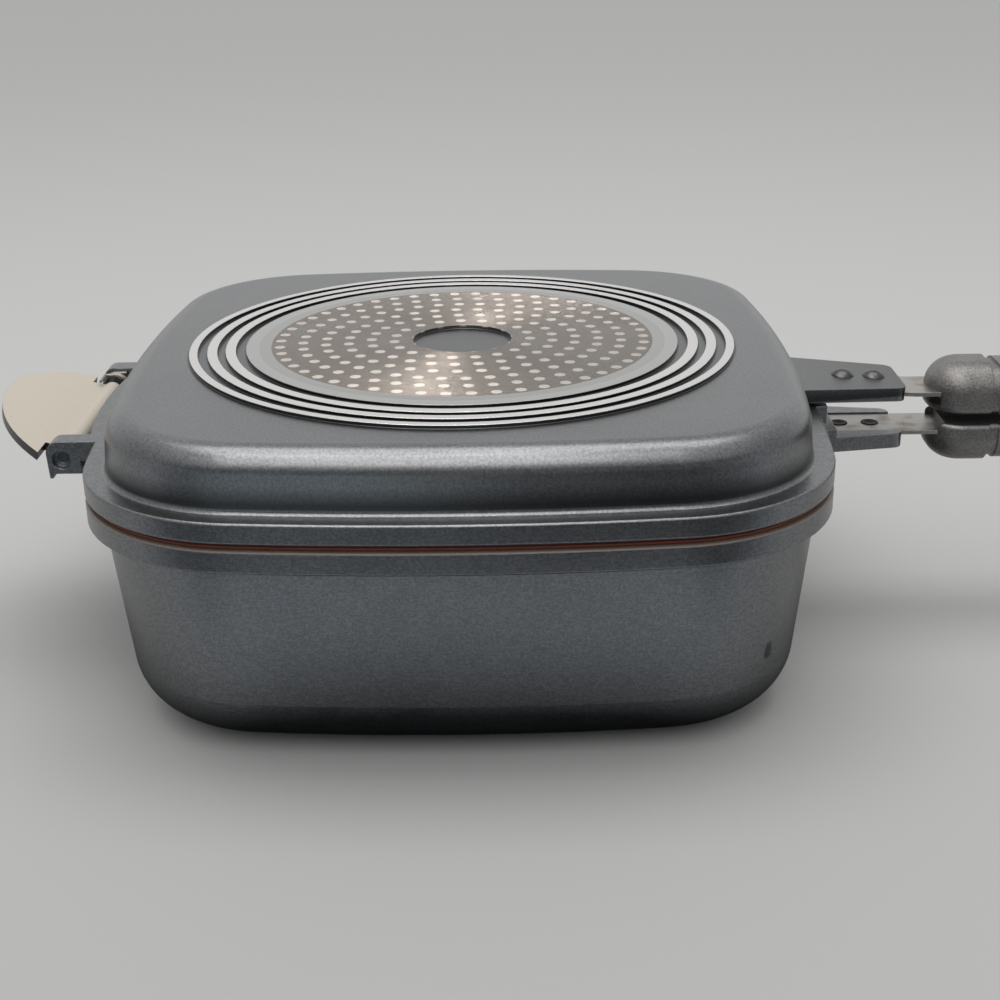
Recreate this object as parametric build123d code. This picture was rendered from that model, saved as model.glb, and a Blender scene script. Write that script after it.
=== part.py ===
"""Double-sided flip pan: a deep cast pan and a shallow one, hinged rim to rim, with paired handles.

Millimetres. The origin is at the middle of the deep pan's base, on the surface that it stands on.
+Z is up, +X runs along the handles, and the hinge is on the -X side with its pin along Y.
"""
from build123d import *
from math import atan2, cos, radians, sin, sqrt
import os

# ---- Plan of both pans: a square with bowed sides and round corners
RIM_HALF = 129.5            # from the middle to the rim's edge, on both axes
SIDE_RADIUS = 700.0         # bow of each side, at the rim's edge
CORNER_RADIUS = 61.5        # round of each corner, at the rim's edge

# ---- Heights of the deep (lower) pan
BASE_RELIEF = 1.3           # height of the turned rings on a base
PAN_BASE = 5.0              # thickness of a cast base
LOWER_DEPTH = 77.7          # from the deep pan's cast base to the top of its rim
LOWER_RIM = 7.7             # thickness of the deep pan's rim
LOWER_WALL = 3.8
LOWER_OVERHANG = 4.6        # rim's edge beyond the wall below it
LOWER_DRAFT = 6.1           # degrees
LOWER_FILLET = 21.0         # outside round between wall and base
LOWER_INNER_FILLET = 17.5

# ---- Heights of the shallow (upper) pan
RIM_GAP = 2.2               # between the two rims, filled by the gasket
UPPER_DEPTH = 27.5          # from its rim's mating face to its cast base
UPPER_RIM = 7.0
UPPER_WALL = 3.4
UPPER_OVERHANG = 6.8
UPPER_DRAFT = 4.7
UPPER_FILLET = 8.4
UPPER_INNER_FILLET = 6.0
EDGE_ROUND = 0.8            # small round on both rims' outer edges
LEDGE_ROUND = 1.4           # small round where the shallow pan's wall meets its rim

# ---- Turned base: three rings round a boss that holds the steel disc
RINGS = ((100.0, 97.0), (93.5, 89.9), (86.9, 83.2))   # outer and inner radius of each ring
BOSS_RADIUS = 79.5
DISC_RADIUS = 70.3
DISC_THICKNESS = 0.6
RECESS_RADIUS = 18.3        # bare recess in the middle of the disc

# ---- Gasket
GASKET_INSET = 2.0          # its outer face, in from the rim's edge
GASKET_WIDTH = 6.0
GASKET_ROOT = 2.8           # width of the root that sits in the shallow pan's groove
GASKET_ROOT_DEPTH = 2.6
SEAL_CLEARANCE = 0.3        # left under the gasket, which is soft

# ---- Hinge
PIN_OFFSET = 10.4           # pin's axis beyond the rims' edge
PIN_RISE = 2.6              # and above the deep pan's rim
PIN_RADIUS = 2.0
PIN_CLEARANCE = 0.06        # between the pin and the ears that turn on it
BARREL_RADIUS = 3.6
EAR_INNER = 40.5            # inner face of each ear, from the middle
EAR_THICKNESS = 8.0
EAR_REACH = 5.3             # ear's end beyond the pin's axis
EAR_ROUND = 4.4
EAR_DROP = 5.2              # ear's lower edge below the pin's axis
EAR_HEEL = 6.6              # where the lower edge stops short of the rims, from the pin's axis
EAR_BORE_SINK = 2.8         # depth of the sunk mouth round each end of the pin
EAR_BORE_SINK_RADIUS = 3.4
FOOT_DROP = 1.7             # pointed foot under each ear's end
FOOT_WIDTH = 2.6
FOOT_TIP = 1.1              # width of its blunt tip
FOOT_LEAN = 0.6             # foot's tip behind the ear's end
RIM_BULGE = 4.9             # the shallow pan's rim stands out between the ears
BULGE_ROOT = 1.5            # how far it stands out at the ears themselves
BARREL_SIDE_GAP = 0.4       # between the barrel and the ear in front
SPRING_SPACE = 9.0          # between the barrel and the ear behind
WEB_THICKNESS = 3.0         # floor of the gutter between barrel and rim, level with the rim

# ---- Drip tray behind the hinge
TRAY_START = 3.3            # tray's upper face meets the barrel this far beyond the pin's axis
TRAY_RISE = 2.8             # and this far above it
TRAY_TILT = 12.0            # degrees, rising outwards
TRAY_THICKNESS = 3.0
TRAY_LAP = 2.5              # tray runs this far into the barrel
TRAY_REACH = 31.3           # along its slope
TRAY_FRONT = 50.5           # half width in front, where it passes the ear
TRAY_BACK = 38.6            # half width at the back
TRAY_EDGE = ((0.63, -0.6), (0.97, 0.0), (0.96, 0.56), (0.57, 0.94))  # shares of its reach and half widths
EAR_SWEEP = 7.4             # tray keeps this far from the pin's axis beside the front ear

# ---- Torsion spring
WIRE_RADIUS = 0.6
COIL_RADIUS = 4.9           # to the wire's middle
COIL_PITCH = 1.35
COIL_TURNS = 2
COIL_SIDE_GAP = 1.2         # between the coil and the ear
TRAY_LEG = 3.6              # leg over the tray, and how far its end then runs forward
TRAY_LEG_END = 8.5
RIM_LEG = 4.2               # leg towards the rims

# ---- Handle lugs, tangs and rivets
LUG_REACH = 33.3            # lug's end beyond the rims' edge
LUG_ROOT_HALF = 20.4        # half width at the rim's edge
LUG_END_HALF = 14.6
LUG_CORNER = 4.0
UPPER_UPSTAND = 3.5         # each lug's upstand reaches this far beyond the rims' edge
LOWER_UPSTAND = 7.8
UPSTAND_SINK = 0.3          # upstand's face back from the rim's mating face
UPPER_LUG = 5.0             # thickness, over its ribs
LOWER_LUG = 5.4
RIB = 0.5                   # ribs beside the tang stand this much higher than it
TANG_BEND_GAP = 5.2         # from the lug's end to the tang's bend
TANG_TAIL = 97.0            # tang's length past its bend
TANG_HALF = 10.2
TANG_THICKNESS = 1.5
TANG_CLEARANCE = 0.1
TANG_SETBACK = 0.3          # from the deep pan's upstand to both tangs' ends
GROOVE_CLEARANCE = 0.1      # round the gasket's root
UPPER_TANG_RISE = 7.0       # its tang's inner face, past the bend, above the shallow pan's rim face
LOWER_TANG_DROP = 4.0       # the other tang's inner face below the deep pan's rim
UPPER_TANG_TILT = 2.75      # degrees; the shallow pan's tang droops to its bend
LOWER_TANG_TILT = 0.0
FIRST_RIVET = 12.3          # from the rims' edge
RIVET_PITCH = 11.6
RIVET_SHANK = 2.1
RIVET_HEAD = 4.3
RIVET_HEAD_HEIGHT = 2.3
RIVET_TAIL = 2.8            # radius that the tail is spread to in the tang's countersink
RIVET_TAIL_DROP = 0.5       # tail's end below the tang's face

# ---- Grips
GRIP_SETBACK = 10.6         # from the lug's end to the grip
GRIP_HALF = 14.5
UPPER_GRIP_BACK = 11.6      # outermost face of each grip, from its tang's inner face
LOWER_GRIP_BACK = 13.0
GRIP_GAP = 3.9              # between the two grips when the pan is shut
GRIP_SPLIT_DROP = 1.55      # middle of that gap below the middle between the tangs
GRIP_ROUND = 10.5
GRIP_NOSE = 13.0
GRIP_EDGE = 2.2             # round of the inner face's edge
GRIP_TAIL = 13.5
CAP_LENGTH = 21.5           # fuller front part of a grip
GROOVE_LENGTH = 3.6
GROOVE_DEPTH = 1.5
BODY_INSET = 0.7            # body behind the groove is this much slimmer
MOUTH_DEPTH = 6.0           # sunk mouth that the tang enters by
MOUTH_HEIGHT = 3.6
HANG_RADIUS = 5.0
HANG_WALL = 8.0             # from the hanging hole's edge to the grip's end
HANG_GAP = 8.0              # from the magnet's edge to the hanging hole's edge
FIRST_SCREW = 32.6          # from the grip's front
LAST_SCREW = 15.0           # from the tang's end
SCREW_SHANK = 2.0
SCREW_HEAD = 3.8
SCREW_HEAD_HEIGHT = 2.0
SCREW_SINK = 0.4            # head below the grip's inner face
SCREW_GRIP = 6.0            # thread beyond the tang
SCREW_CLEARANCE = 0.2
MAGNET_RADIUS = 8.0
MAGNET_WALL = 9.0           # from the tang's end to the magnet's edge
MAGNET_SEAT = 3.4
MAGNET_GAP = 0.3            # between the two magnets when the pan is shut

# ---- Heights that follow
LOWER_RIM_TOP = BASE_RELIEF + LOWER_DEPTH
UPPER_RIM_FACE = LOWER_RIM_TOP + RIM_GAP
UPPER_RIM_TOP = UPPER_RIM_FACE + UPPER_RIM
UPPER_BASE_TOP = UPPER_RIM_FACE + UPPER_DEPTH
PIN_Z = LOWER_RIM_TOP + PIN_RISE
UPPER_TANG_Z = UPPER_RIM_FACE + UPPER_TANG_RISE
LOWER_TANG_Z = LOWER_RIM_TOP - LOWER_TANG_DROP
GRIP_SPLIT_Z = (UPPER_TANG_Z + LOWER_TANG_Z) / 2 - GRIP_SPLIT_DROP

# ---- Places along the hinge and the handle that follow
PIN_X = -RIM_HALF - PIN_OFFSET
LUG_END = RIM_HALF + LUG_REACH
TANG_START = RIM_HALF + LOWER_UPSTAND + TANG_SETBACK
TANG_BEND = LUG_END + TANG_BEND_GAP
TANG_END = TANG_BEND + TANG_TAIL
RIVET_X = (RIM_HALF + FIRST_RIVET, RIM_HALF + FIRST_RIVET + RIVET_PITCH)
GRIP_START = LUG_END + GRIP_SETBACK
SCREW_X = (GRIP_START + FIRST_SCREW, TANG_END - LAST_SCREW)
MAGNET_X = TANG_END + MAGNET_WALL + MAGNET_RADIUS
HANG_X = MAGNET_X + MAGNET_RADIUS + HANG_GAP + HANG_RADIUS
GRIP_END = HANG_X + HANG_RADIUS + HANG_WALL


def corner_centre():
    """Distance of each corner's centre from the middle, on both axes, where it meets the bowed sides."""
    side = SIDE_RADIUS - RIM_HALF
    reach = SIDE_RADIUS - CORNER_RADIUS
    return (-side + sqrt(2 * reach ** 2 - side ** 2)) / 2


def plan(inset, z):
    """The pans' plan, moved in from the rim's edge by inset, as a face at height z."""
    centre = corner_centre()
    side_centre = RIM_HALF - SIDE_RADIUS
    side = SIDE_RADIUS - inset
    corner = CORNER_RADIUS - inset
    turn = atan2(centre, centre - side_centre)
    start = Vector(side_centre + side * cos(turn), side * sin(turn))
    finish = Vector(start.Y, start.X)
    diagonal = centre + corner / sqrt(2)
    quarter = [
        ThreePointArc((start.X, -start.Y), (RIM_HALF - inset, 0), (start.X, start.Y)),
        ThreePointArc((start.X, start.Y), (diagonal, diagonal), (finish.X, finish.Y)),
    ]
    edges = [Rot(0, 0, 90 * k) * edge for k in range(4) for edge in quarter]
    return Pos(0, 0, z) * make_face(edges)


def bowl(inset, rim_z, base_z, draft, fillet_radius):
    """A drafted block from the rim down or up to the base, with its base edge rounded."""
    height = abs(base_z - rim_z)
    direction = (0, 0, 1) if base_z > rim_z else (0, 0, -1)
    block = extrude(plan(inset, rim_z), amount=height, dir=direction, taper=draft)
    base_edges = block.edges().filter_by(lambda edge: abs(edge.center().Z - base_z) < 0.01)
    return fillet(base_edges, fillet_radius)


def rim_plate(low, high):
    """Solid plate of the rim's plan, with its outer edges eased."""
    plate = extrude(plan(0, low), amount=high - low)
    return fillet(plate.edges().filter_by(GeomType.LINE, reverse=True), EDGE_ROUND)


def disc(radius, height, z=0.0):
    return Pos(0, 0, z) * Cylinder(radius, height, align=(Align.CENTER, Align.CENTER, Align.MIN))


def turned_base():
    """Rings and boss that stand on a cast base at z = 0, facing up, with the disc's pocket."""
    relief = disc(BOSS_RADIUS, BASE_RELIEF)
    relief -= disc(DISC_RADIUS, DISC_THICKNESS, BASE_RELIEF - DISC_THICKNESS)
    relief -= disc(RECESS_RADIUS, BASE_RELIEF)
    for outer, inner in RINGS:
        relief += disc(outer, BASE_RELIEF) - disc(inner, BASE_RELIEF)
    return relief


def induction_disc():
    """Thin steel disc, seated in the boss and open round the recess, on a base at z = 0."""
    seat = BASE_RELIEF - DISC_THICKNESS
    return disc(DISC_RADIUS, DISC_THICKNESS, seat) - disc(RECESS_RADIUS, DISC_THICKNESS, seat)


# ---- Handle pieces, in a frame whose z = 0 is the tang's inner face and whose +z faces outwards

def bent(shape, tilt):
    """Turn what lies on the pan's side of the bend by the tang's tilt."""
    return Pos(TANG_BEND, 0, 0) * Rot(0, tilt, 0) * Pos(-TANG_BEND, 0, 0) * shape


def bar(x0, x1, half, low, high):
    """Straight bar along x with the given half width and heights."""
    middle = ((x0 + x1) / 2, 0, (low + high) / 2)
    return Pos(*middle) * Box(x1 - x0, 2 * half, high - low)


def lug(thickness, tilt, root, upstand, mating):
    """Cast lug from inside the wall to its end, with a channel for the tang on its inner face.

    Its upstand joins it to the rim, stands out beyond the rim's edge and reaches in to z = mating.
    """
    slope = (LUG_ROOT_HALF - LUG_END_HALF) / (LUG_END - RIM_HALF)
    root_half = LUG_ROOT_HALF + slope * (RIM_HALF - root)
    outline = Polygon(
        (root, -root_half), (LUG_END, -LUG_END_HALF), (LUG_END, LUG_END_HALF), (root, root_half),
        align=None,
    )
    corners = outline.vertices().filter_by(lambda corner: corner.X > RIM_HALF)
    outline = fillet(corners, LUG_CORNER)
    block = extrude(Pos(0, 0, -RIB) * outline, amount=thickness)
    channel_half = TANG_HALF + TANG_CLEARANCE
    block -= bar(TANG_START - TANG_CLEARANCE, LUG_END + 1, channel_half, -RIB, TANG_THICKNESS)
    for x in RIVET_X:
        block -= Pos(x, 0, thickness / 2) * Cylinder(RIVET_SHANK, 2 * thickness)
    joint = extrude(Pos(0, 0, mating) * outline, amount=-mating)
    joint &= bar(root, RIM_HALF + upstand, root_half, mating, 0)
    return bent(block, tilt) + joint


def tang(tilt):
    """Steel strap: riveted in the lug, bent level at the grip, with holes for rivets and screws."""
    front = bar(TANG_START, TANG_BEND, TANG_HALF, 0, TANG_THICKNESS)
    for x in RIVET_X:
        sink = Cone(RIVET_SHANK, RIVET_TAIL, TANG_THICKNESS)
        front -= Pos(x, 0, TANG_THICKNESS / 2) * Rot(180, 0, 0) * sink
    strap = bent(front, tilt) + bar(TANG_BEND, TANG_END, TANG_HALF, 0, TANG_THICKNESS)
    for x in SCREW_X:
        strap -= Pos(x, 0, 0) * Cylinder(SCREW_SHANK + SCREW_CLEARANCE, 4 * TANG_THICKNESS)
    return strap


def rivet(thickness):
    """Domed head on the lug's outer face, shank, and a tail spread in the tang's countersink."""
    face = thickness - RIB
    dome_radius = (RIVET_HEAD ** 2 + RIVET_HEAD_HEIGHT ** 2) / (2 * RIVET_HEAD_HEIGHT)
    dome = Pos(0, 0, face + RIVET_HEAD_HEIGHT - dome_radius) * Sphere(dome_radius)
    head = dome & (Pos(0, 0, face + RIVET_HEAD_HEIGHT / 2) * Cylinder(RIVET_HEAD, RIVET_HEAD_HEIGHT))
    shank = Pos(0, 0, (face + TANG_THICKNESS) / 2) * Cylinder(RIVET_SHANK, face - TANG_THICKNESS)
    depth = TANG_THICKNESS - RIVET_TAIL_DROP
    spread = RIVET_SHANK + (RIVET_TAIL - RIVET_SHANK) * depth / TANG_THICKNESS
    tail = Pos(0, 0, RIVET_TAIL_DROP + depth / 2) * Rot(180, 0, 0) * Cone(RIVET_SHANK, spread, depth)
    return head + shank + tail


def rivets(thickness, tilt):
    return [bent(Pos(x, 0, 0) * rivet(thickness), tilt) for x in RIVET_X]


def grip_bar(x0, x1, inset, low, high, nose, tail):
    """Moulded bar with its inner face at low and a round back at high; nose and tail round its ends."""
    half = GRIP_HALF - inset
    outline = Pos((x0 + x1) / 2, 0) * Rectangle(x1 - x0, 2 * half)
    for x, radius in ((x0, nose), (x1, tail)):
        if radius:
            corners = outline.vertices().filter_by(lambda corner: abs(corner.X - x) < 0.01)
            outline = fillet(corners, radius)
    block = extrude(Pos(0, 0, low) * outline, amount=high - inset - low)
    for z, radius in ((high - inset, GRIP_ROUND - inset), (low, GRIP_EDGE)):
        edges = block.edges().filter_by(lambda edge: abs(edge.center().Z - z) < 0.01)
        edges = edges.filter_by(lambda edge: tail or edge.center().X < x1 - 0.01)
        edges = edges.filter_by(lambda edge: nose or edge.center().X > x0 + 0.01)
        block = fillet(edges, radius)
    return block


def grip(low, high):
    """One half of the handle: cap, groove and body, with its slot, screw holes and magnet seat."""
    cap_end = GRIP_START + CAP_LENGTH
    body_start = cap_end + GROOVE_LENGTH
    half = grip_bar(GRIP_START, cap_end, 0, low, high, GRIP_NOSE, 0)
    half += grip_bar(cap_end, body_start, GROOVE_DEPTH, low, high, 0, 0)
    half += grip_bar(body_start, GRIP_END, BODY_INSET, low, high, 0, GRIP_TAIL - BODY_INSET)
    slot_half = TANG_HALF + TANG_CLEARANCE
    half -= bar(GRIP_START - 1, TANG_END + TANG_CLEARANCE, slot_half, 0, TANG_THICKNESS)
    half -= bar(GRIP_START - 1, GRIP_START + MOUTH_DEPTH, slot_half, -MOUTH_HEIGHT, TANG_THICKNESS)
    for x in SCREW_X:
        half -= Pos(x, 0, 0) * Cylinder(SCREW_SHANK, 2 * SCREW_GRIP)
        sink = SCREW_SINK + SCREW_HEAD_HEIGHT
        half -= Pos(x, 0, low + sink / 2) * Cylinder(SCREW_HEAD + SCREW_CLEARANCE, sink)
    half -= Pos(MAGNET_X, 0, low + MAGNET_SEAT / 2) * Cylinder(MAGNET_RADIUS, MAGNET_SEAT)
    half -= Pos(HANG_X, 0, 0) * Cylinder(HANG_RADIUS, 4 * high)
    return half


def grip_screws(low):
    """Two screws that hold a grip on its tang, their heads sunk in its inner face."""
    head_face = low + SCREW_SINK
    screws = []
    for x in SCREW_X:
        head = Pos(x, 0, head_face + SCREW_HEAD_HEIGHT / 2) * Cylinder(SCREW_HEAD, SCREW_HEAD_HEIGHT)
        length = SCREW_GRIP - head_face - SCREW_HEAD_HEIGHT
        shank = Pos(x, 0, SCREW_GRIP - length / 2) * Cylinder(SCREW_SHANK, length)
        screws.append(head + shank)
    return screws


def magnet(low):
    """Round magnet, standing out of the grip's inner face to meet its partner."""
    proud = (GRIP_GAP - MAGNET_GAP) / 2
    height = MAGNET_SEAT + proud
    return Pos(MAGNET_X, 0, low - proud + height / 2) * Cylinder(MAGNET_RADIUS, height)


UPPER_FRAME = Pos(0, 0, UPPER_TANG_Z)
LOWER_FRAME = Pos(0, 0, LOWER_TANG_Z) * Rot(180, 0, 0)
UPPER_GRIP_LOW = GRIP_SPLIT_Z + GRIP_GAP / 2 - UPPER_TANG_Z
LOWER_GRIP_LOW = LOWER_TANG_Z - GRIP_SPLIT_Z + GRIP_GAP / 2


# ---- Hinge pieces

def along_y(radius, y0, y1):
    """Cylinder on the hinge's axis between two stations."""
    return Pos(PIN_X, (y0 + y1) / 2, PIN_Z) * Rot(90, 0, 0) * Cylinder(radius, y1 - y0)


def ear():
    """Side shape of one hinge ear, extruded through its thickness on the +Y side."""
    end = PIN_X - EAR_REACH
    low = PIN_Z - EAR_DROP
    heel = PIN_X + EAR_HEEL
    inside = -RIM_HALF + UPPER_OVERHANG / 2
    edges = [
        Line((inside, UPPER_RIM_TOP), (end + EAR_ROUND, UPPER_RIM_TOP)),
        CenterArc((end + EAR_ROUND, UPPER_RIM_TOP - EAR_ROUND), EAR_ROUND, 90, 90),
        Polyline(
            (end, UPPER_RIM_TOP - EAR_ROUND), (end + FOOT_LEAN, low - FOOT_DROP),
            (end + FOOT_LEAN + FOOT_TIP, low - FOOT_DROP),
            (end + FOOT_WIDTH, low), (heel, low), (heel, UPPER_RIM_FACE),
            (inside, UPPER_RIM_FACE), (inside, UPPER_RIM_TOP),
        ),
    ]
    face = Plane.XZ * make_face(edges)
    return Pos(0, EAR_INNER + EAR_THICKNESS, 0) * extrude(face, amount=EAR_THICKNESS)


def rim_bulge():
    """Where the shallow pan's rim stands out between the ears."""
    inside = -RIM_HALF + UPPER_OVERHANG / 2
    root = -RIM_HALF - BULGE_ROOT
    edges = [
        Line((inside, -EAR_INNER), (root, -EAR_INNER)),
        ThreePointArc((root, -EAR_INNER), (-RIM_HALF - RIM_BULGE, 0), (root, EAR_INNER)),
        Line((root, EAR_INNER), (inside, EAR_INNER)),
        Line((inside, EAR_INNER), (inside, -EAR_INNER)),
    ]
    return extrude(Pos(0, 0, UPPER_RIM_FACE) * make_face(edges), amount=UPPER_RIM)


def drip_tray():
    """Leaf-shaped tray that rises outwards from the barrel; beside the front ear it clears its sweep."""
    clear = (EAR_SWEEP - TRAY_START) / cos(radians(TRAY_TILT))
    front_root = -EAR_INNER + BARREL_SIDE_GAP
    back_root = EAR_INNER - SPRING_SPACE
    rounded = [(out * TRAY_REACH, side * (TRAY_BACK if side > 0 else TRAY_FRONT)) for out, side in TRAY_EDGE]
    edges = [
        Spline((clear, -TRAY_FRONT), *rounded, (clear, TRAY_BACK)),
        Polyline(
            (clear, TRAY_BACK), (clear, back_root), (-TRAY_LAP, back_root),
            (-TRAY_LAP, front_root), (clear, front_root), (clear, -TRAY_FRONT),
        ),
    ]
    slope = Plane(
        origin=(PIN_X - TRAY_START, 0, PIN_Z + TRAY_RISE),
        x_dir=(-cos(radians(TRAY_TILT)), 0, sin(radians(TRAY_TILT))),
        z_dir=(-sin(radians(TRAY_TILT)), 0, -cos(radians(TRAY_TILT))),
    )
    return extrude(slope * make_face(edges), amount=TRAY_THICKNESS)


def barrel():
    """Hinge barrel of the deep pan, the gutter's floor beside it and the drip tray."""
    front = -EAR_INNER + BARREL_SIDE_GAP
    back = EAR_INNER - SPRING_SPACE
    outside = PIN_X - BARREL_RADIUS / 2
    inside = -RIM_HALF + LOWER_OVERHANG / 2
    web = Pos((outside + inside) / 2, (front + back) / 2, LOWER_RIM_TOP - WEB_THICKNESS / 2)
    web *= Box(inside - outside, back - front, WEB_THICKNESS)
    return along_y(BARREL_RADIUS, front, back) + web + drip_tray()


# ---- Sub-parts

def lower_pan():
    outside = bowl(LOWER_OVERHANG, LOWER_RIM_TOP, BASE_RELIEF, LOWER_DRAFT, LOWER_FILLET)
    body = outside + rim_plate(LOWER_RIM_TOP - LOWER_RIM, LOWER_RIM_TOP)
    body += barrel()
    wall_x = RIM_HALF - LOWER_OVERHANG - LOWER_WALL / 2
    mating = LOWER_TANG_Z - LOWER_RIM_TOP + UPSTAND_SINK
    body += LOWER_FRAME * lug(LOWER_LUG, LOWER_TANG_TILT, wall_x, LOWER_UPSTAND, mating)
    body += Rot(180, 0, 0) * Pos(0, 0, -BASE_RELIEF) * turned_base()
    inset = LOWER_OVERHANG + LOWER_WALL
    body -= bowl(inset, LOWER_RIM_TOP, BASE_RELIEF + PAN_BASE, LOWER_DRAFT, LOWER_INNER_FILLET)
    return body - along_y(PIN_RADIUS, -EAR_INNER, EAR_INNER)


def gasket_rings(clearance):
    """Root and lip of the gasket, with the groove's clearance round the root."""
    middle = GASKET_INSET + GASKET_WIDTH / 2
    root_outer = middle - GASKET_ROOT / 2 - clearance
    root_inner = middle + GASKET_ROOT / 2 + clearance
    depth = GASKET_ROOT_DEPTH + clearance
    root = extrude(plan(root_outer, UPPER_RIM_FACE) - plan(root_inner, UPPER_RIM_FACE), amount=depth)
    lip_low = LOWER_RIM_TOP + SEAL_CLEARANCE
    lip_face = plan(GASKET_INSET, lip_low) - plan(GASKET_INSET + GASKET_WIDTH, lip_low)
    return root, extrude(lip_face, amount=UPPER_RIM_FACE - lip_low)


def gasket():
    root, lip = gasket_rings(0)
    return root + lip


def upper_pan():
    dome = bowl(UPPER_OVERHANG, UPPER_RIM_FACE, UPPER_BASE_TOP, UPPER_DRAFT, UPPER_FILLET)
    body = dome + rim_plate(UPPER_RIM_FACE, UPPER_RIM_TOP)
    ledge = body.edges().filter_by(
        lambda edge: abs(edge.center().Z - UPPER_RIM_TOP) < 0.01
        and abs(edge.bounding_box().max.Z - edge.bounding_box().min.Z) < 0.01
    )
    inner = [edge for edge in ledge if max(abs(edge.center().X), abs(edge.center().Y))
             < RIM_HALF - UPPER_OVERHANG + 0.01]
    body = fillet(inner, LEDGE_ROUND)
    body += rim_bulge()
    for turn in (ear(), mirror(ear(), about=Plane.XZ)):
        body += turn
    wall_x = RIM_HALF - UPPER_OVERHANG - UPPER_WALL / 2
    mating = UPPER_RIM_FACE - UPPER_TANG_Z + UPSTAND_SINK
    body += UPPER_FRAME * lug(UPPER_LUG, UPPER_TANG_TILT, wall_x, UPPER_UPSTAND, mating)
    body += Pos(0, 0, UPPER_BASE_TOP) * turned_base()
    inset = UPPER_OVERHANG + UPPER_WALL
    body -= bowl(inset, UPPER_RIM_FACE, UPPER_BASE_TOP - PAN_BASE, UPPER_DRAFT, UPPER_INNER_FILLET)
    body -= gasket_rings(GROOVE_CLEARANCE)[0]
    outer = EAR_INNER + EAR_THICKNESS
    body -= along_y(PIN_RADIUS + PIN_CLEARANCE, -outer, outer)
    for side in (-1, 1):
        mouth = along_y(EAR_BORE_SINK_RADIUS, outer - EAR_BORE_SINK, outer)
        body -= mouth if side > 0 else mirror(mouth, about=Plane.XZ)
    return body


def hinge_pin():
    end = EAR_INNER + EAR_THICKNESS - EAR_BORE_SINK
    return along_y(PIN_RADIUS, -end, end)


def hinge_spring():
    """Wire coil round the pin beside the rear ear, with a bent leg over the tray and one to the rims."""
    rise = COIL_PITCH * COIL_TURNS
    coil = Helix(COIL_PITCH, rise, COIL_RADIUS)
    wire = sweep(Plane(coil @ 0, z_dir=coil % 0) * Circle(WIRE_RADIUS), path=coil)
    for end, away, length in ((0, -1, TRAY_LEG), (1, 1, RIM_LEG)):
        leg = Plane(coil @ end, z_dir=(coil % end) * away)
        wire += leg * Cylinder(WIRE_RADIUS, length, align=(Align.CENTER, Align.CENTER, Align.MIN))
    bend = coil @ 0 - (coil % 0) * TRAY_LEG
    wire += Pos(*bend) * Sphere(WIRE_RADIUS)
    forward = Plane(bend, z_dir=(0, 0, -1))
    wire += forward * Cylinder(WIRE_RADIUS, TRAY_LEG_END, align=(Align.CENTER, Align.CENTER, Align.MIN))
    start = EAR_INNER - COIL_SIDE_GAP - rise
    return Plane(origin=(PIN_X, start, PIN_Z), x_dir=(0, 0, 1), z_dir=(0, 1, 0)) * wire


PARTS = {
    "lower_pan": lower_pan(),
    "upper_pan": upper_pan(),
    "gasket": gasket(),
    "hinge_pin": hinge_pin(),
    "hinge_spring": hinge_spring(),
    "lower_disc": Rot(180, 0, 0) * Pos(0, 0, -BASE_RELIEF) * induction_disc(),
    "upper_disc": Pos(0, 0, UPPER_BASE_TOP) * induction_disc(),
    "lower_tang": LOWER_FRAME * tang(LOWER_TANG_TILT),
    "upper_tang": UPPER_FRAME * tang(UPPER_TANG_TILT),
    "lower_rivets": Compound(LOWER_FRAME * piece for piece in rivets(LOWER_LUG, LOWER_TANG_TILT)),
    "upper_rivets": Compound(UPPER_FRAME * piece for piece in rivets(UPPER_LUG, UPPER_TANG_TILT)),
    "lower_grip": LOWER_FRAME * grip(LOWER_GRIP_LOW, LOWER_GRIP_BACK),
    "upper_grip": UPPER_FRAME * grip(UPPER_GRIP_LOW, UPPER_GRIP_BACK),
    "lower_grip_screws": Compound(LOWER_FRAME * piece for piece in grip_screws(LOWER_GRIP_LOW)),
    "upper_grip_screws": Compound(UPPER_FRAME * piece for piece in grip_screws(UPPER_GRIP_LOW)),
    "lower_magnet": LOWER_FRAME * magnet(LOWER_GRIP_LOW),
    "upper_magnet": UPPER_FRAME * magnet(UPPER_GRIP_LOW),
}

os.makedirs("parts", exist_ok=True)
for name, shape in PARTS.items():
    export_step(shape, f"parts/{name}.step")
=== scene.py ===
"""Dresses the double sided flip pan: finishes, small parts, studio and camera, in metres."""
from math import pi, radians

import bpy
from mathutils import Matrix, Vector


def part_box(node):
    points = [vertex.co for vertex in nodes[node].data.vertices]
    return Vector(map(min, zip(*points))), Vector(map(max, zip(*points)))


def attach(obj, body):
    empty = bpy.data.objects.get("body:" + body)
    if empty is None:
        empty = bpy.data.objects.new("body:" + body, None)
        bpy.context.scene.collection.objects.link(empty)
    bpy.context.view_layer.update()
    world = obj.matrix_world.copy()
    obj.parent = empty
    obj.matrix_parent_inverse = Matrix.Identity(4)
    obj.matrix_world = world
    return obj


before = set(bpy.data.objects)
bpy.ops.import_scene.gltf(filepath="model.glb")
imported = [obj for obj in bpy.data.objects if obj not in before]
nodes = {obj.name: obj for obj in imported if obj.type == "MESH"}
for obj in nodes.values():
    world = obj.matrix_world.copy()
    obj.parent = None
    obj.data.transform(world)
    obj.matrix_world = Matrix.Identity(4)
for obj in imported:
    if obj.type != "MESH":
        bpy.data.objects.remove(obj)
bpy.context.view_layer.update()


# ---- Deep pan: one aluminium casting with its hinge barrel, drip tray and handle lug. Outside it has
# a satin dark grey coat, blasted and rubbed level round the walls; the inside, the rim's top and the
# tray's top have a cream ceramic coat. The base is turned bright.

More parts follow.
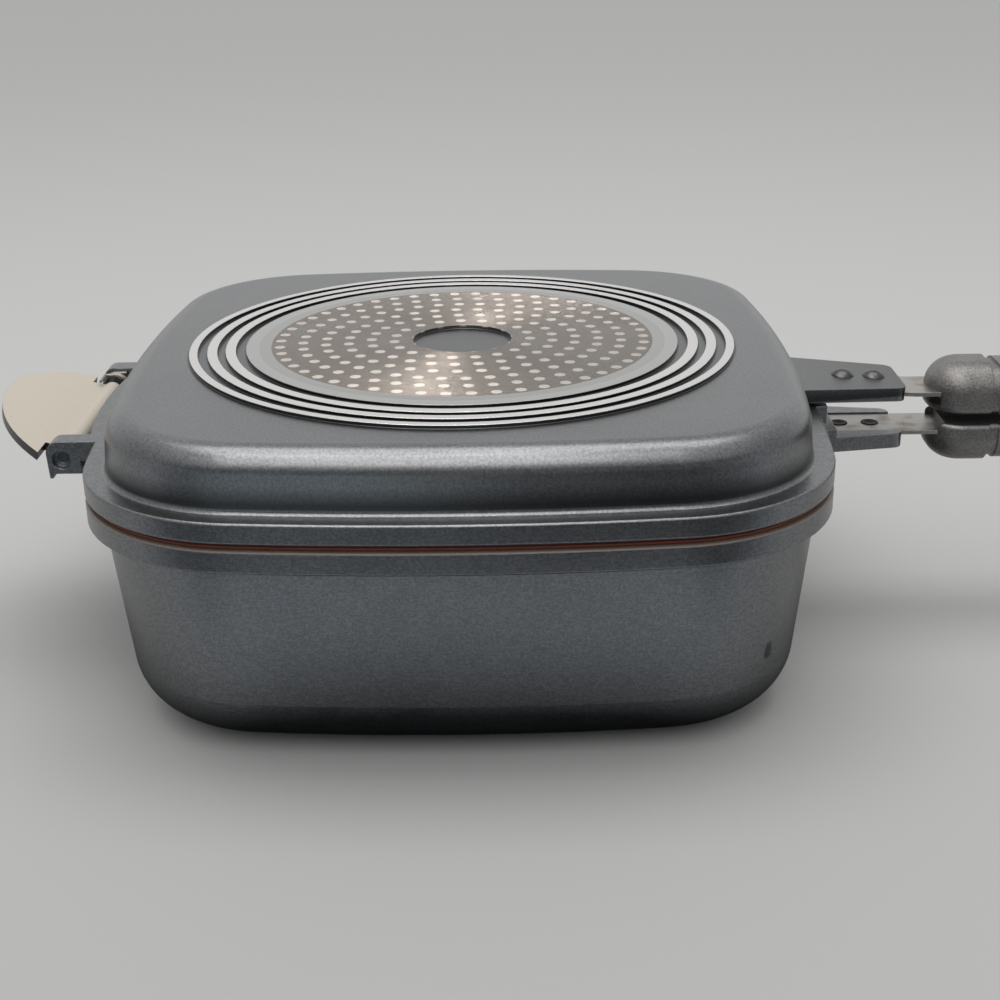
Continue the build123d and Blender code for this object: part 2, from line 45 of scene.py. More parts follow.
class Value:
    """A shader node's output. Arithmetic on it adds Math nodes to the same finish."""

    def __init__(self, finish, output):
        self.finish, self.output = finish, output

    def maths(self, operation, *others):
        sockets = dict(enumerate((self, *others)))
        return self.finish.node("ShaderNodeMath", {"operation": operation}, sockets)

    def reflected(self, operation, other):
        return self.finish.node("ShaderNodeMath", {"operation": operation}, {0: other, 1: self})

    def __add__(self, other):
        return self.maths("ADD", other)

    def __sub__(self, other):
        return self.maths("SUBTRACT", other)

    def __mul__(self, other):
        return self.maths("MULTIPLY", other)

    def __truediv__(self, other):
        return self.maths("DIVIDE", other)

    def __gt__(self, other):
        return self.maths("GREATER_THAN", other)

    def __lt__(self, other):
        return self.maths("LESS_THAN", other)

    def __abs__(self):
        return self.maths("ABSOLUTE")

    def __radd__(self, other):
        return self.reflected("ADD", other)

    def __rsub__(self, other):
        return self.reflected("SUBTRACT", other)

    def over(self, low, high):
        """0 below low, 1 above high and even between; high may be the lower of the two."""
        return ((self - low) / (high - low)).maths("MAXIMUM", 0).maths("MINIMUM", 1)


class Finish:
    """One material, whose nodes are added by expressions and by node()."""

    def __init__(self, name, **plain):
        self.material = bpy.data.materials.new(name)
        self.material.use_nodes = True
        self.surface = self.material.node_tree.nodes["Principled BSDF"]
        self.feed(self.surface, plain)
        place = self.node("ShaderNodeTexCoord", output="Object")
        self.place = place
        self.x, self.y, self.z = (
            self.node("ShaderNodeSeparateXYZ", {}, {0: place}, axis) for axis in "XYZ"
        )

    def feed(self, shader, sockets):
        for name, value in sockets.items():
            if isinstance(value, Value):
                self.material.node_tree.links.new(value.output, shader.inputs[name])
            else:
                shader.inputs[name].default_value = value

    def node(self, kind, settings=None, sockets=None, output=0):
        made = self.material.node_tree.nodes.new(kind)
        for name, value in (settings or {}).items():
            setattr(made, name, value)
        self.feed(made, sockets or {})
        return Value(self, made.outputs[output])

    def mix(self, share, first, second):
        """Colour that goes from first to second as share goes from 0 to 1."""
        settings = {"data_type": "RGBA"}
        return self.node("ShaderNodeMix", settings, {0: share, 6: first, 7: second}, output=2)

    def noise(self, size, stretch=(1, 1, 1), detail=2.0):
        """Noise from 0 to 1 with features of about size metres, longer along stretch."""
        scale = [1 / (size * along) for along in stretch]
        vector = self.node("ShaderNodeMapping", {}, {"Vector": self.place, "Scale": scale})
        return self.node("ShaderNodeTexNoise", {}, {"Vector": vector, "Scale": 1.0, "Detail": detail})

    def bump(self, height, distance, strength=1.0, soft=0.0):
        """Normal from a height, over edges that are eased by soft metres."""
        sockets = {"Height": height, "Distance": distance, "Strength": strength}
        if soft:
            sockets["Normal"] = self.node("ShaderNodeBevel", {"samples": 6}, {"Radius": soft})
        self.feed(self.surface, {"Normal": self.node("ShaderNodeBump", {}, sockets)})


def wear(node_name, finish):
    """Give a CAD node its finish."""
    piece = nodes[node_name]
    piece.data.materials.clear()
    piece.data.materials.append(finish.material)


COAT = (0.172, 0.177, 0.184, 1)
COAT_WORN = (0.262, 0.266, 0.270, 1)
# painted shade by the walls' foot, the rings, the recess and the tray's edge; also the colour of one
# real scuff
SHADE_AND_SCUFF = (0.045, 0.046, 0.047, 1)
CREAM = (0.62, 0.56, 0.47, 1)
CREAM_SPECK = (0.40, 0.34, 0.27, 1)
# painted shade on the cream of the deep pan's rim top, where it lies in the seam
SEAM_SHADE_CREAM = (0.16, 0.115, 0.095, 1)
TURNED = (0.80, 0.79, 0.775, 1)
BOSS = (0.50, 0.50, 0.488, 1)
BOSS_STEP = (0.43, 0.44, 0.42, 1)
GRAIN_SIZE = 0.0008     # of the blasted surface
RUB_SIZE = 0.00030      # of the rub marks, which run this many times as long round the walls
RUB_LENGTH = 9
CLOUD_SIZE = 0.035      # of the slow changes in tone
SPECK_SIZE = 0.0011     # of the ceramic's specks
TURNING_PITCH = 0.0006  # of the lathe's spiral
TURNING_PASSES = 900    # uneven passes of its tool in a metre
RIM_HALF = 0.1295       # the plan's half width and half length
SIDE_BOW = 1.39         # twice the radius of its bowed sides
CORNER = 0.0647         # where its corners are centred, on both axes
CORNER_RADIUS = 0.0615
MIDDLE = 0.055          # both bases are as far from this height
BASE = 0.0530           # how far: just short of the base, where the rings stand on it
GROOVE_SHADE_FROM = 0.0500     # how far: from here on, what lies within the outermost ring is painted with shade
SIDES_FROM = 0.0539     # how far: from here on, it is the rings' sides, which are painted dark as shade
RING_EDGE = 0.1000      # the outermost ring's outer edge
RING_REACH = 0.1002     # just outside it
RING_SPILL = 0.1005     # as far as the painted shade on its side goes
CORNER_SHADE = (0.0009, 0.0003)         # how far from a ring's foot its line of painted shade ends and starts
CHANNELS = ((0.0970, 0.0935), (0.0899, 0.0869), (0.0832, 0.0795))    # between the turned rings
BOSS_RADIUS = 0.0802    # just outside the boss
BOSS_LAND = 0.0748      # just outside its second land
RECESS_RADIUS = 0.0184
RUBBED_TO = 0.0885      # the seam and the walls below this height are rubbed
STEP_FOOT = (0.0896, 0.0902)    # heights where painted shade starts at the foot of the shallow pan's walls
STEP_TOP = (0.0972, 0.0915)     # and where that painted shade ends
TRAY_RIM = (-0.1460, -0.1466)   # where painted shade starts along the tray's edge
RIM_SEAM_SHADE = (0.0783, 0.0786)  # heights over which the deep pan's rim top is painted with the seam's shade
SEAM_SHADE_STOP = (-0.1330, -0.1310)       # where that painted shade ends, short of the gutter
SCUFF = (0.1015, -0.1009, 0.0301)       # a dark knock near the foot of one corner
SCUFF_EDGE = (0.0042, 0.0034)


def depth_in_plan(finish):
    """How far a point lies inside the rim's outer edge, seen from above."""
    across, along = abs(finish.x), abs(finish.y)
    side_x = RIM_HALF - across - along * along / SIDE_BOW
    side_y = RIM_HALF - along - across * across / SIDE_BOW
    corner_x = (across - CORNER).maths("MAXIMUM", 0)
    corner_y = (along - CORNER).maths("MAXIMUM", 0)
    corner = CORNER_RADIUS - (corner_x * corner_x + corner_y * corner_y).maths("SQRT")
    beyond = (across > CORNER) * (along > CORNER)
    return side_x.maths("MINIMUM", side_y) * (1 - beyond) + corner * beyond


def within_wall(finish, above_base, below_rim, rim_inset, draft, fillet):
    """1 on the cavity's side of the middle of a wall, from heights above the base and below the rim."""
    drop = (fillet - above_base).maths("MAXIMUM", 0).maths("MINIMUM", fillet)
    pulled = fillet - (fillet * fillet - drop * drop).maths("SQRT")
    return (depth_in_plan(finish) > rim_inset + below_rim * draft + pulled) * (above_base > 0)


def radius(finish):
    return (finish.x * finish.x + finish.y * finish.y).maths("SQRT")


def turning(finish, pitch):
    """Height of the fine spiral that a lathe tool leaves, from 0 to 1, with uneven passes."""
    distance = radius(finish)
    groove = (distance * (2 * pi / pitch)).maths("SINE") * 0.5 + 0.5
    uneven = {"W": distance * TURNING_PASSES, "Scale": 1.0}
    passes = finish.node("ShaderNodeTexNoise", {"noise_dimensions": "1D"}, uneven)
    return groove * 0.5 + passes * 0.7


def painted_shade_and_scuff(finish):
    """How dark the coat is painted: with shade by the rim, the rings, the recess and the tray's edge,
    and with one real scuff.
    """
    distance, from_middle = radius(finish), abs(finish.z - MIDDLE)
    # painted shade at the foot of the shallow pan's walls
    wall_foot_shade = finish.z.over(*STEP_FOOT) * finish.z.over(*STEP_TOP)
    # painted shade on the rings' sides and the grooves between them
    ring_side_shade = (from_middle > GROOVE_SHADE_FROM) * 0.35 + (from_middle > SIDES_FROM) * 0.55
    far, near = CORNER_SHADE
    # a line of painted shade where each ring meets the base
    groove_shade = (distance > RING_EDGE) * distance.over(RING_EDGE + 0.0010, RING_EDGE + 0.0004)
    for outer, inner in CHANNELS:
        off_centre, half = abs(distance - (outer + inner) / 2), (outer - inner) / 2
        groove_shade = groove_shade + (off_centre < half) * off_centre.over(half - far, half - near)
    along, across, up = (at - knock for at, knock in zip((finish.x, finish.y, finish.z), SCUFF))
    up = up * 0.5
    away = (along * along + across * across + up * up).maths("SQRT") + finish.noise(0.0025) * 0.004
    dark = wall_foot_shade * 0.85
    for share in (
        # painted shade along the tray's outer edge
        finish.x.over(*TRAY_RIM) * 0.9,
        ring_side_shade * (distance < RING_SPILL),
        groove_shade * (from_middle > BASE) * 0.9,
        # painted shade in the recess at the middle of the base
        (distance < RECESS_RADIUS) * 0.3,
        away.over(*SCUFF_EDGE) * 0.8,
    ):
        dark = dark.maths("MAXIMUM", share)
    return dark


def casting(name, cream, turned):
    """The pans' finish: ceramic where cream is 1, bright metal where turned is 1, coated elsewhere."""
    finish = Finish(name)
    cream, bright = cream(finish), turned(finish)
    grain = finish.noise(GRAIN_SIZE, detail=4)
    walls = finish.z < RUBBED_TO
    rubbed = (finish.noise(RUB_SIZE, stretch=(RUB_LENGTH, RUB_LENGTH, 1)) - 0.5) * walls
    cloud = finish.noise(CLOUD_SIZE)
    tone = (grain * 0.9 + rubbed * 0.5 + cloud * 0.2).over(0.42, 0.72)
    coat = finish.mix(painted_shade_and_scuff(finish), finish.mix(tone, COAT, COAT_WORN), SHADE_AND_SCUFF)
    speck = finish.noise(SPECK_SIZE, detail=1).over(0.72, 0.76)
    # painted shade on the cream where the rim's top lies in the seam
    rim = finish.z.over(*RIM_SEAM_SHADE) * finish.x.over(*SEAM_SHADE_STOP)
    ceramic = finish.mix(rim * 0.85, finish.mix(speck * 0.6, CREAM, CREAM_SPECK), SEAM_SHADE_CREAM)
    land = finish.mix(radius(finish) < BOSS_RADIUS, TURNED, BOSS)
    land = finish.mix(radius(finish) < BOSS_LAND, land, BOSS_STEP)
    rough = 0.24 + grain * 0.10 + cloud * 0.05 + cream * 0.14
    finish.feed(finish.surface, {
        "Base Color": finish.mix(bright, finish.mix(cream, coat, ceramic), land),
        "Metallic": (1 - cream).maths("MAXIMUM", bright),
        "Roughness": rough * (1 - bright) + bright * 0.24,
    })
    texture = (grain * 0.6 + rubbed * 0.8) * (1 - bright) * 0.5
    finish.bump(texture + turning(finish, TURNING_PITCH) * bright * 0.5, 0.00006, soft=0.0005)
    return finish


GUTTER = -0.1302        # where the rim ends and the gutter falls to the barrel
TRAY_START = -0.1440
LUG_START = 0.1297


def deep_pan_cream(finish):
    """The cavity, the rim's top, and the tray and gutter where they look up."""
    above_base, below_rim = finish.z - 0.0038, 0.079 - finish.z
    cavity = within_wall(finish, above_base, below_rim, rim_inset=0.0065, draft=0.1069, fillet=0.0193)
    rim_top = (finish.z > 0.0785) * (finish.x > GUTTER)
    facing = finish.node("ShaderNodeTexCoord", output="Normal")
    up = finish.node("ShaderNodeSeparateXYZ", {}, {0: facing}, "Z")
    tray = (finish.x < GUTTER) * (up > 0.12 + (finish.x < TRAY_START) * 0.66)
    return cavity.maths("MAXIMUM", rim_top).maths("MAXIMUM", tray) * (1 - (finish.x > LUG_START))


def deep_pan_turned(finish):
    return (finish.z < 0.0001) * (radius(finish) < RING_REACH)


wear("lower_pan", casting("deep_pan_coats", deep_pan_cream, deep_pan_turned))


# ---- Shallow pan: the same casting and coats, with the two hinge ears, the bulge between them and the
# other lug. Three rings and a boss stand on its base, turned bright on top; the boss has a second,
# duller land just outside the steel disc.

def shallow_pan_cream(finish):
    above_base, below_rim = 0.1062 - finish.z, finish.z - 0.0812
    return within_wall(finish, above_base, below_rim, rim_inset=0.0085, draft=0.0822, fillet=0.0072)


def shallow_pan_turned(finish):
    return (finish.z > 0.1099) * (radius(finish) < RING_REACH)


wear("upper_pan", casting("shallow_pan_coats", shallow_pan_cream, shallow_pan_turned))


# ---- Induction discs: thin stainless steel, pressed into each boss through hundreds of small holes,
# so that rounds of bright aluminium stand level in it. Face and rounds are turned together.

STEEL = (0.190, 0.167, 0.145, 1)
STEEL_WARM = (0.150, 0.127, 0.110, 1)
STUD = (0.48, 0.45, 0.41, 1)
STUD_LINE = (0.10, 0.085, 0.075, 1)
STUD_PITCH = 0.0084
STUD_RADIUS = 0.00195
STUD_EDGE = 0.00012     # half the width of their soft edge
STUD_TWIST = 0.37       # share of a step that each ring is turned from the next
FINE_GROOVES = 14000    # grooves in a metre
GROOVE_TIP = 2.4        # how far the lathe's fine grooves tip the surface


def stud_distance(finish):
    """Distance to the nearest of the rounds, which stand in rings a pitch apart."""
    distance = radius(finish)
    ring = (distance / STUD_PITCH).maths("ROUND")
    count = (ring * (2 * pi)).maths("ROUND")
    turn = finish.y.maths("ARCTAN2", finish.x) / (2 * pi) * count + ring * STUD_TWIST
    beside = (turn - turn.maths("ROUND")) / count * (2 * pi) * distance
    across = distance - ring * STUD_PITCH
    return (beside * beside + across * across).maths("SQRT")


def turned_normal(finish, spread):
    """Normal tipped towards or away from the middle, groove by groove, as turning leaves it."""
    fine = {"W": radius(finish) * FINE_GROOVES, "Scale": 1.0}
    tip = (finish.node("ShaderNodeTexNoise", {"noise_dimensions": "1D"}, fine) - 0.5) * spread
    flat = {0: finish.place, 1: (1, 1, 0)}
    level = finish.node("ShaderNodeVectorMath", {"operation": "MULTIPLY"}, flat)
    outward = finish.node("ShaderNodeVectorMath", {"operation": "NORMALIZE"}, {0: level})
    tipped = finish.node("ShaderNodeVectorMath", {"operation": "SCALE"}, {0: outward, "Scale": tip})
    turned = {"vector_type": "VECTOR", "convert_from": "OBJECT", "convert_to": "WORLD"}
    tipped = finish.node("ShaderNodeVectorTransform", turned, {0: tipped})
    plain = finish.node("ShaderNodeNewGeometry", output="Normal")
    both = finish.node("ShaderNodeVectorMath", {"operation": "ADD"}, {0: plain, 1: tipped})
    return finish.node("ShaderNodeVectorMath", {"operation": "NORMALIZE"}, {0: both})


steel_face = Finish("induction_steel", Metallic=1.0)
studs = stud_distance(steel_face).over(STUD_RADIUS + STUD_EDGE, STUD_RADIUS - STUD_EDGE)
stud_line = stud_distance(steel_face).over(STUD_RADIUS + 0.0004, STUD_RADIUS + 0.0001) * (1 - studs)
heat = steel_face.noise(0.03, detail=3).over(0.35, 0.7)
steel_colour = steel_face.mix(heat, STEEL, STEEL_WARM)
steel_colour = steel_face.mix(stud_line * 0.45, steel_colour, STUD_LINE)
steel_face.feed(steel_face.surface, {
    "Base Color": steel_face.mix(studs, steel_colour, STUD),
    "Roughness": 0.26 + studs * 0.10 + heat * 0.06,
    "Normal": turned_normal(steel_face, GROOVE_TIP),
})
for disc in ("lower_disc", "upper_disc"):
    wear(disc, steel_face)


# ---- Gasket: a moulded dark red silicone ring, its root pressed into the groove in the shallow pan's rim. Its outer edge shows in the seam, lighter and browner along its lower side.

SILICONE = (0.075, 0.006, 0.004, 1)
SILICONE_LOWER_EDGE = (0.33, 0.085, 0.045, 1)
EDGE_TONE_BELOW = (0.0799, 0.0795)        # heights over which its outer edge turns lighter and browner
EDGE_TONE_WITHIN = (0.0032, 0.0026)       # and how far in from the rims' edge

silicone = Finish("red_silicone", Roughness=0.5)
# the outer edge is lighter and browner along its lower side
browned = (silicone.z - silicone.noise(0.004) * 0.0004).over(*EDGE_TONE_BELOW)
browned = browned * depth_in_plan(silicone).over(*EDGE_TONE_WITHIN)
silicone.feed(silicone.surface, {
    "Base Color": silicone.mix(browned, SILICONE, SILICONE_LOWER_EDGE),
})
silicone.bump(silicone.noise(0.0006), 0.00005, soft=0.0004)
wear("gasket", silicone)


# ---- Hinge pin and spring: a plain ground steel pin held in the barrel, and a light wire spring wound
# round it beside the rear ear. Grease and cooking have browned both.

PIN_STEEL = (0.62, 0.60, 0.57, 1)
PIN_STAINED = (0.28, 0.19, 0.11, 1)
PIN_END = (0.05, 0.055, 0.075, 1)
PIN_END_FROM = (0.0440, 0.0452)
WIRE_DARK = (0.20, 0.18, 0.155, 1)
WIRE_BRIGHT = (0.46, 0.44, 0.41, 1)

bright_steel = Finish("plain_steel", Metallic=1.0)
stain = bright_steel.noise(0.004, detail=4).over(0.5, 0.72)
pin_ends = abs(bright_steel.y).over(*PIN_END_FROM)
stained = bright_steel.mix(stain * 0.6, PIN_STEEL, PIN_STAINED)
bright_steel.feed(bright_steel.surface, {
    "Base Color": bright_steel.mix(pin_ends * 0.85, stained, PIN_END),
    "Roughness": 0.26 + stain * 0.2,
})
bright_steel.bump(bright_steel.noise(0.0005, stretch=(1, 6, 1)), 0.00003, soft=0.0003)
wear("hinge_pin", bright_steel)

spring_wire = Finish("spring_wire", Metallic=0.9)
dulled = spring_wire.noise(0.0015, detail=3)
spring_wire.feed(spring_wire.surface, {
    "Base Color": spring_wire.mix(dulled, WIRE_DARK, WIRE_BRIGHT),
    "Roughness": 0.38 + dulled * 0.2,
})
spring_wire.bump(dulled, 0.00004, soft=0.0002)
wear("hinge_spring", spring_wire)


# ---- Handle straps and rivets: strip steel, rolled and brushed along its length, riveted into each lug. The rivet heads were coated with the pans; their shanks are hammered out over the straps' inner faces. These ends are painted nearly black, partly as painted shade in the straps' holes and partly as burnt-on fat.

STRAP_STEEL = (0.42, 0.405, 0.38, 1)
STRAP_BROWNED = (0.22, 0.15, 0.10, 1)
RIVET_COAT = (0.045, 0.046, 0.050, 1)
RIVET_WORN = (0.17, 0.17, 0.172, 1)
# the hammered rivet ends: painted shade, nearly black, mixed with a brown crust of burnt fat
SHADE_BLACK = (0.008, 0.008, 0.008, 1)
BURNT_BROWN = (0.05, 0.042, 0.035, 1)
PEEN_WIDTH = 0.0066
PEEN_DEPTH = 0.0007     # half of it is let into the strap
PEEN_STEPS = ((0.0007, -0.00005), (0.0008, -0.00015), (0.0007, -0.0002))    # inset, then its fall
STRAP_FACE = 0.0750     # the lower strap's upper face
STRAP_UNDER = 0.0882    # the upper strap's under face at its inner end, and how it rises outwards
STRAP_END = 0.1376
STRAP_SLOPE = 0.00146 / 0.1274

strap_steel = Finish("strap_steel", Metallic=1.0)
brushed = strap_steel.noise(0.00035, stretch=(40, 1, 1))
browned = strap_steel.noise(0.007, detail=4).over(0.50, 0.75)
strap_steel.feed(strap_steel.surface, {
    "Base Color": strap_steel.mix(browned * 0.65, STRAP_STEEL, STRAP_BROWNED),
    "Roughness": 0.27 + brushed * 0.14 + browned * 0.12,
})
strap_steel.bump(brushed, 0.00004, soft=0.0003)
for strap in ("lower_tang", "upper_tang"):
    wear(strap, strap_steel)

rivet_coat = Finish("coated_rivet", Metallic=0.95)
scuffed = rivet_coat.noise(0.0012, detail=3)
rivet_coat.feed(rivet_coat.surface, {
    "Base Color": rivet_coat.mix(scuffed, RIVET_COAT, RIVET_WORN),
    "Roughness": 0.22 + scuffed * 0.16,
})
rivet_coat.bump(scuffed, 0.00008, soft=0.0003)
for rivets in ("lower_rivets", "upper_rivets"):
    wear(rivets, rivet_coat)

# the hammered ends' finish: partly painted shade in the straps' holes, partly burnt fat
shade_and_burn = Finish("burnt_rivet_end", Metallic=0.4)
crust = shade_and_burn.noise(0.0012, detail=4)
shade_and_burn.feed(shade_and_burn.surface, {
    "Base Color": shade_and_burn.mix(crust, SHADE_BLACK, BURNT_BROWN),
    "Roughness": 0.40 + crust * 0.3,
})
shade_and_burn.bump(crust, 0.00025, soft=0.0002)


def peened_end(name, place, turned_over, body):
    """Hammered end of a rivet's shank, spread over the strap's inner face at place."""
    bpy.ops.object.select_all(action="DESELECT")
    bpy.ops.mesh.primitive_cylinder_add(
        vertices=24, radius=PEEN_WIDTH / 2, depth=PEEN_DEPTH, location=(0, 0, 0)
    )
    end = bpy.context.object
    end.name = name
    bpy.ops.object.mode_set(mode="EDIT")
    bpy.ops.mesh.select_all(action="DESELECT")
    bpy.ops.object.mode_set(mode="OBJECT")
    for face in end.data.polygons:
        face.select = face.normal.z > 0.9
    bpy.ops.object.mode_set(mode="EDIT")
    for inset, drop in PEEN_STEPS:
        bpy.ops.mesh.inset(thickness=inset)
        bpy.ops.transform.translate(value=(0, 0, drop))
    bpy.ops.object.mode_set(mode="OBJECT")
    rounding = end.modifiers.new("rounding", "BEVEL")
    rounding.width, rounding.segments, rounding.angle_limit = 0.0003, 3, radians(40)
    bpy.ops.object.modifier_apply(modifier=rounding.name)
    bpy.ops.object.shade_smooth_by_angle(angle=radians(50))
    if turned_over:
        end.data.transform(Matrix.Rotation(pi, 4, "X"))
    end.data.transform(Matrix.Translation(place))
    end.data.materials.append(shade_and_burn.material)
    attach(end, body)


for body, turned_over in (("lower", False), ("upper", True)):
    low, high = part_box(body + "_rivets")
    half = (high[1] - low[1]) / 2
    for number, x in enumerate((low[0] + half, high[0] - half)):
        face = STRAP_UNDER + STRAP_SLOPE * (x - STRAP_END) if turned_over else STRAP_FACE
        peened_end(f"{body}_peened_end_{number + 1}", (x, 0, face), turned_over, body)


# ---- Grips: two moulded halves with a satin grey, slightly metallic paint over a coarse flecked
# moulding, each screwed to its strap and closed by a magnet.

GRIP_DARK = (0.155, 0.150, 0.145, 1)
GRIP_LIGHT = (0.290, 0.280, 0.270, 1)
GRIP_GAP_SHADE = (0.012, 0.012, 0.013, 1)    # painted shade: black where the halves meet, in the gap between them
GAP_SHADE_FROM = (0.0775, 0.0779)
GAP_SHADE_TO = (0.0826, 0.0822)
SCREW_DARK = (0.38, 0.38, 0.37, 1)
SCREW_LIGHT = (0.50, 0.49, 0.475, 1)

grip_paint = Finish("grip_paint")
fleck = grip_paint.noise(0.0008, detail=3)
cloudy = grip_paint.noise(0.012)
painted = grip_paint.mix((fleck * 0.7 + cloudy * 0.3).over(0.35, 0.65), GRIP_DARK, GRIP_LIGHT)
# the faces where the halves meet are painted black, as the shade in the gap between them
gap_shade = grip_paint.z.over(*GAP_SHADE_FROM) * grip_paint.z.over(*GAP_SHADE_TO)
grip_paint.feed(grip_paint.surface, {
    "Base Color": grip_paint.mix(gap_shade, painted, GRIP_GAP_SHADE),
    "Roughness": 0.36 + fleck * 0.12 + gap_shade * 0.4,
    "Metallic": (1 - gap_shade) * 0.75,
})
grip_paint.bump(fleck, 0.00012, soft=0.0006)
for grip in ("lower_grip", "upper_grip"):
    wear(grip, grip_paint)

screw_steel = Finish("screw_steel", Metallic=1.0)
machined = screw_steel.noise(0.0004)
screw_steel.feed(screw_steel.surface, {
    "Base Color": screw_steel.mix(machined, SCREW_DARK, SCREW_LIGHT),
    "Roughness": 0.25 + machined * 0.1,
})
screw_steel.bump(machined, 0.00003, soft=0.0003)
for small in ("lower_grip_screws", "upper_grip_screws", "lower_magnet", "upper_magnet"):
    wear(small, screw_steel)


# ---- Studio: a pale grey floor that runs back out of sight, one broad soft lamp overhead and an even pale surround. Four smaller lamps show only in the metal, as the highlights, and one of them only in the discs. A black card on the floor in front and a dim low front darken what the walls mirror; round the pan's foot the card is painted shade, and the floor the camera sees is painted lighter from the pan's front on.

FLOOR_WIDTH = 24
bpy.ops.object.select_all(action="DESELECT")
bpy.ops.mesh.primitive_plane_add(size=1, location=(0, 0, 0))
floor = bpy.context.object
floor.name = "studio_floor"
for corner in floor.data.vertices:
    corner.co = corner.co * FLOOR_WIDTH
PAPER = (0.545, 0.545, 0.538, 1)
PAPER_SHADE = (0.515, 0.515, 0.512, 1)
PAPER_LIT = (0.605, 0.605, 0.597, 1)     # painted light: the floor is lighter from the pan's front on, as the camera sees it
PAPER_COOL = (0.545, 0.585, 0.625, 1)       # in front, as the pan mirrors it
CARD_AND_SHADE = (0.018, 0.021, 0.024, 1)             # black in front of the pan, and under it as painted shade; unseen itself
SHEEN = (0.72, 0.88, 0.95, 1)               # a pale patch beyond its left half, only in gloss
CARD_FROM = (-0.235, -0.30)     # the card's near edge, 70 mm nearer beside the pan
CARD_TO = (-0.46, -0.42)        # its far edge on the left
CARD_TO_RIGHT = (-1.2, -0.9)    # and on the right
FOOT_SHADE = (0.185, 0.130)     # painted shade round the pan's foot, which the walls mirror
SHEEN_FROM = (-0.43, -0.48)
SHEEN_TO = (-1.1, -0.9)

paper = Finish("studio_paper", Roughness=0.9)
seen = paper.node("ShaderNodeLightPath", output="Is Camera Ray")
aside = abs(paper.x)
card = (paper.y - aside.over(0.12, 0.14) * 0.07).over(*CARD_FROM)
to_the_right = paper.x.over(-0.04, 0.03) * paper.y.over(*CARD_TO_RIGHT)
card = card * paper.y.over(*CARD_TO).maths("MAXIMUM", to_the_right) * aside.over(0.60, 0.40)
# painted shade round the pan's foot, seen only in reflections and bounced light
card = card.maths("MAXIMUM", radius(paper).over(*FOOT_SHADE)) * (1 - seen)
glossy = paper.node("ShaderNodeLightPath", output="Is Glossy Ray")
sheen = paper.y.over(*SHEEN_FROM) * paper.y.over(*SHEEN_TO)
sheen = sheen * paper.x.over(-0.02, -0.09) * paper.x.over(-0.60, -0.40) * glossy
plain_paper = paper.mix(paper.noise(0.9), PAPER_SHADE, PAPER)
# painted light: the floor the camera sees is lighter from the pan's front on
plain_paper = paper.mix(paper.y.over(-0.30, 0.05) * seen, plain_paper, PAPER_LIT)
plain_paper = paper.mix(paper.y.over(-0.10, -0.17) * (1 - seen), plain_paper, PAPER_COOL)
paper.feed(paper.surface, {
    "Base Color": paper.mix(sheen, paper.mix(card, plain_paper, CARD_AND_SHADE), SHEEN),
})
floor.data.materials.append(paper.material)


def softbox(name, place, aim, size, power, colour, lights_floor=False):
    """Rectangular soft lamp at place, turned to aim; only gloss shows it unless it lights the floor."""
    lamp = bpy.data.lights.new(name, "AREA")
    lamp.shape = "RECTANGLE"
    lamp.size, lamp.size_y = size
    lamp.energy = power
    lamp.color = colour
    holder = bpy.data.objects.new(name, lamp)
    bpy.context.scene.collection.objects.link(holder)
    holder.location = place
    holder.rotation_euler = (Vector(aim) - Vector(place)).to_track_quat("-Z", "Y").to_euler()
    holder.visible_diffuse = lights_floor
    return holder


WARM_WHITE = (1.0, 0.985, 0.96)         # all of them are nearly white
WARM_STRIP = (1.0, 0.95, 0.90)
WHITE = (1.0, 0.99, 0.97)
softbox("lamp_above", (0, 0.13, 1.35), (0, 0, 0.05), (1.5, 0.70), 6.0, WARM_WHITE, lights_floor=True)
softbox("lamp_front", (-0.10, -0.80, 0.95), (0, -0.1, 0.1), (0.8, 0.8), 3.6, WHITE)
strip = softbox("lamp_strip", (-0.15, 0.86, 1.20), (0, 0, 0.1), (0.07, 0.5), 6.2, WARM_STRIP)
softbox("lamp_left", (-0.32, -0.38, 1.25), (0, 0, 0.1), (0.22, 0.22), 0.8, WHITE)
softbox("lamp_middle", (0.01, -0.36, 1.25), (0, 0, 0.1), (0.14, 0.22), 0.7, WHITE)
steel_only = bpy.data.collections.new("steel_only")
for disc in ("lower_disc", "upper_disc"):
    steel_only.objects.link(nodes[disc])
strip.light_linking.receiver_collection = steel_only

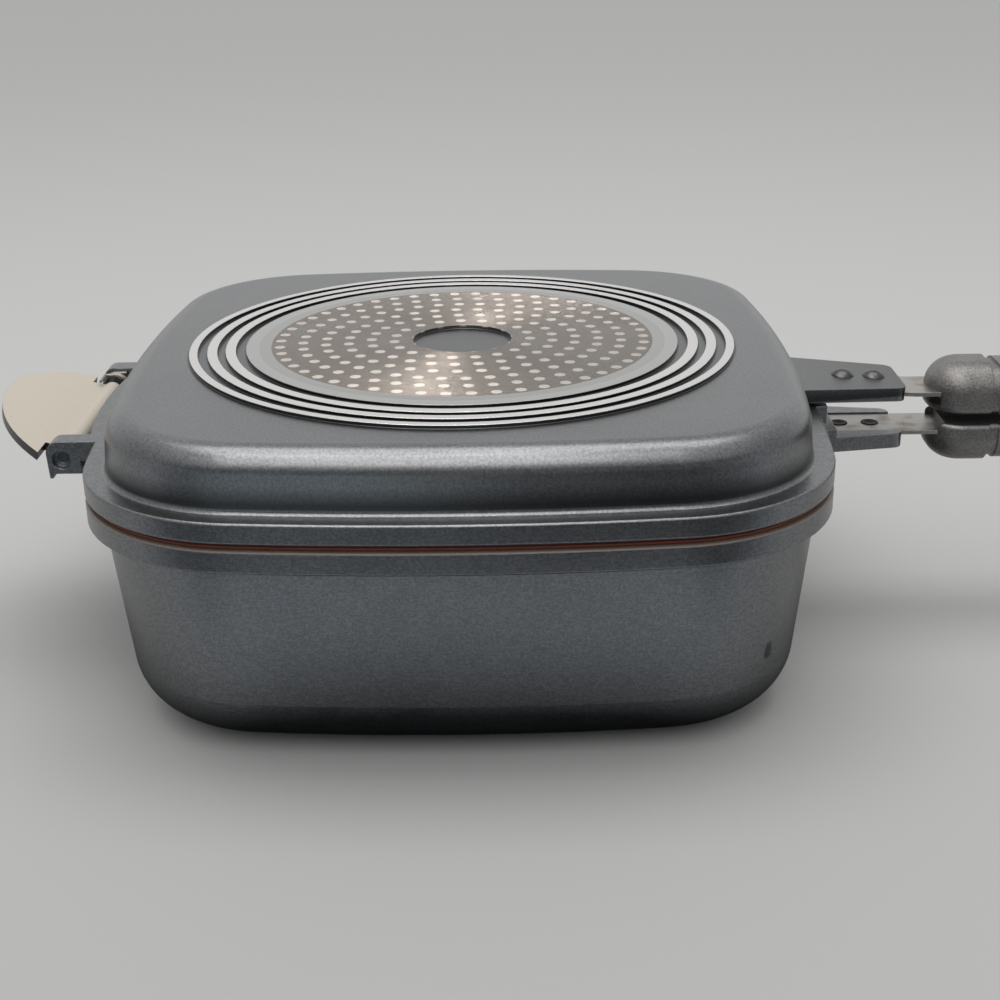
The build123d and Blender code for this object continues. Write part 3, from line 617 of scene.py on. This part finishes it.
SURROUND = (1, 1, 1, 1)
SURROUND_LOW_FRONT = (0.035, 0.042, 0.048, 1)
SURROUND_SEEN = (0.42, 0.42, 0.415, 1)      # what the camera sees beyond the floor

world = bpy.data.worlds.new("surround")
bpy.context.scene.world = world
world.use_nodes = True


class Surround(Finish):
    """The studio's walls and ceiling, by direction from the pan."""

    def __init__(self, tree_owner):
        self.material = tree_owner
        direction = self.node("ShaderNodeTexCoord", output="Generated")
        self.x, self.y, self.z = (
            self.node("ShaderNodeSeparateXYZ", {}, {0: direction}, axis) for axis in "XYZ"
        )


room = Surround(world)
low_front = room.y.over(-0.25, -0.65) * room.z.over(0.32, 0.10)
overhead = (room.z * 0.95 - room.y * 0.30).over(0.35, 1.0)
behind = room.y.over(0.2, 0.7) * room.z.over(0.9, 0.5)
level = 0.42 + overhead * 0.40 + behind * 0.32
looked_at = room.node("ShaderNodeLightPath", output="Is Camera Ray")
tint = room.mix(low_front, SURROUND, SURROUND_LOW_FRONT)
room.feed(world.node_tree.nodes["Background"], {
    "Color": room.mix(looked_at, tint, SURROUND_SEEN),
    "Strength": level * (1 - looked_at) + looked_at,
})


# ---- Camera: a short telephoto at arm's length, looking down on the front of the pan, with the end
# of the handle out of its frame.

DISTANCE, HEIGHT, ASIDE = 0.5748, 0.2717, 0.0166
YAW, PITCH, ROLL = radians(-0.35), radians(21.5), radians(0.87)
FOCAL_SHARE = 1.6       # focal length over the picture's width
SENSOR = 36

lens = bpy.data.cameras.new("camera")
lens.sensor_width = SENSOR
lens.lens = SENSOR * FOCAL_SHARE
lens.clip_start = 0.01
camera = bpy.data.objects.new("camera", lens)
bpy.context.scene.collection.objects.link(camera)
turn = Matrix.Rotation(-YAW, 4, "Z") @ Matrix.Rotation(pi / 2 - PITCH, 4, "X")
camera.matrix_world = (
    Matrix.Translation((ASIDE, -DISTANCE, HEIGHT)) @ turn @ Matrix.Rotation(-ROLL, 4, "Z")
)
bpy.context.scene.camera = camera
bpy.context.scene.view_settings.view_transform = "Standard"
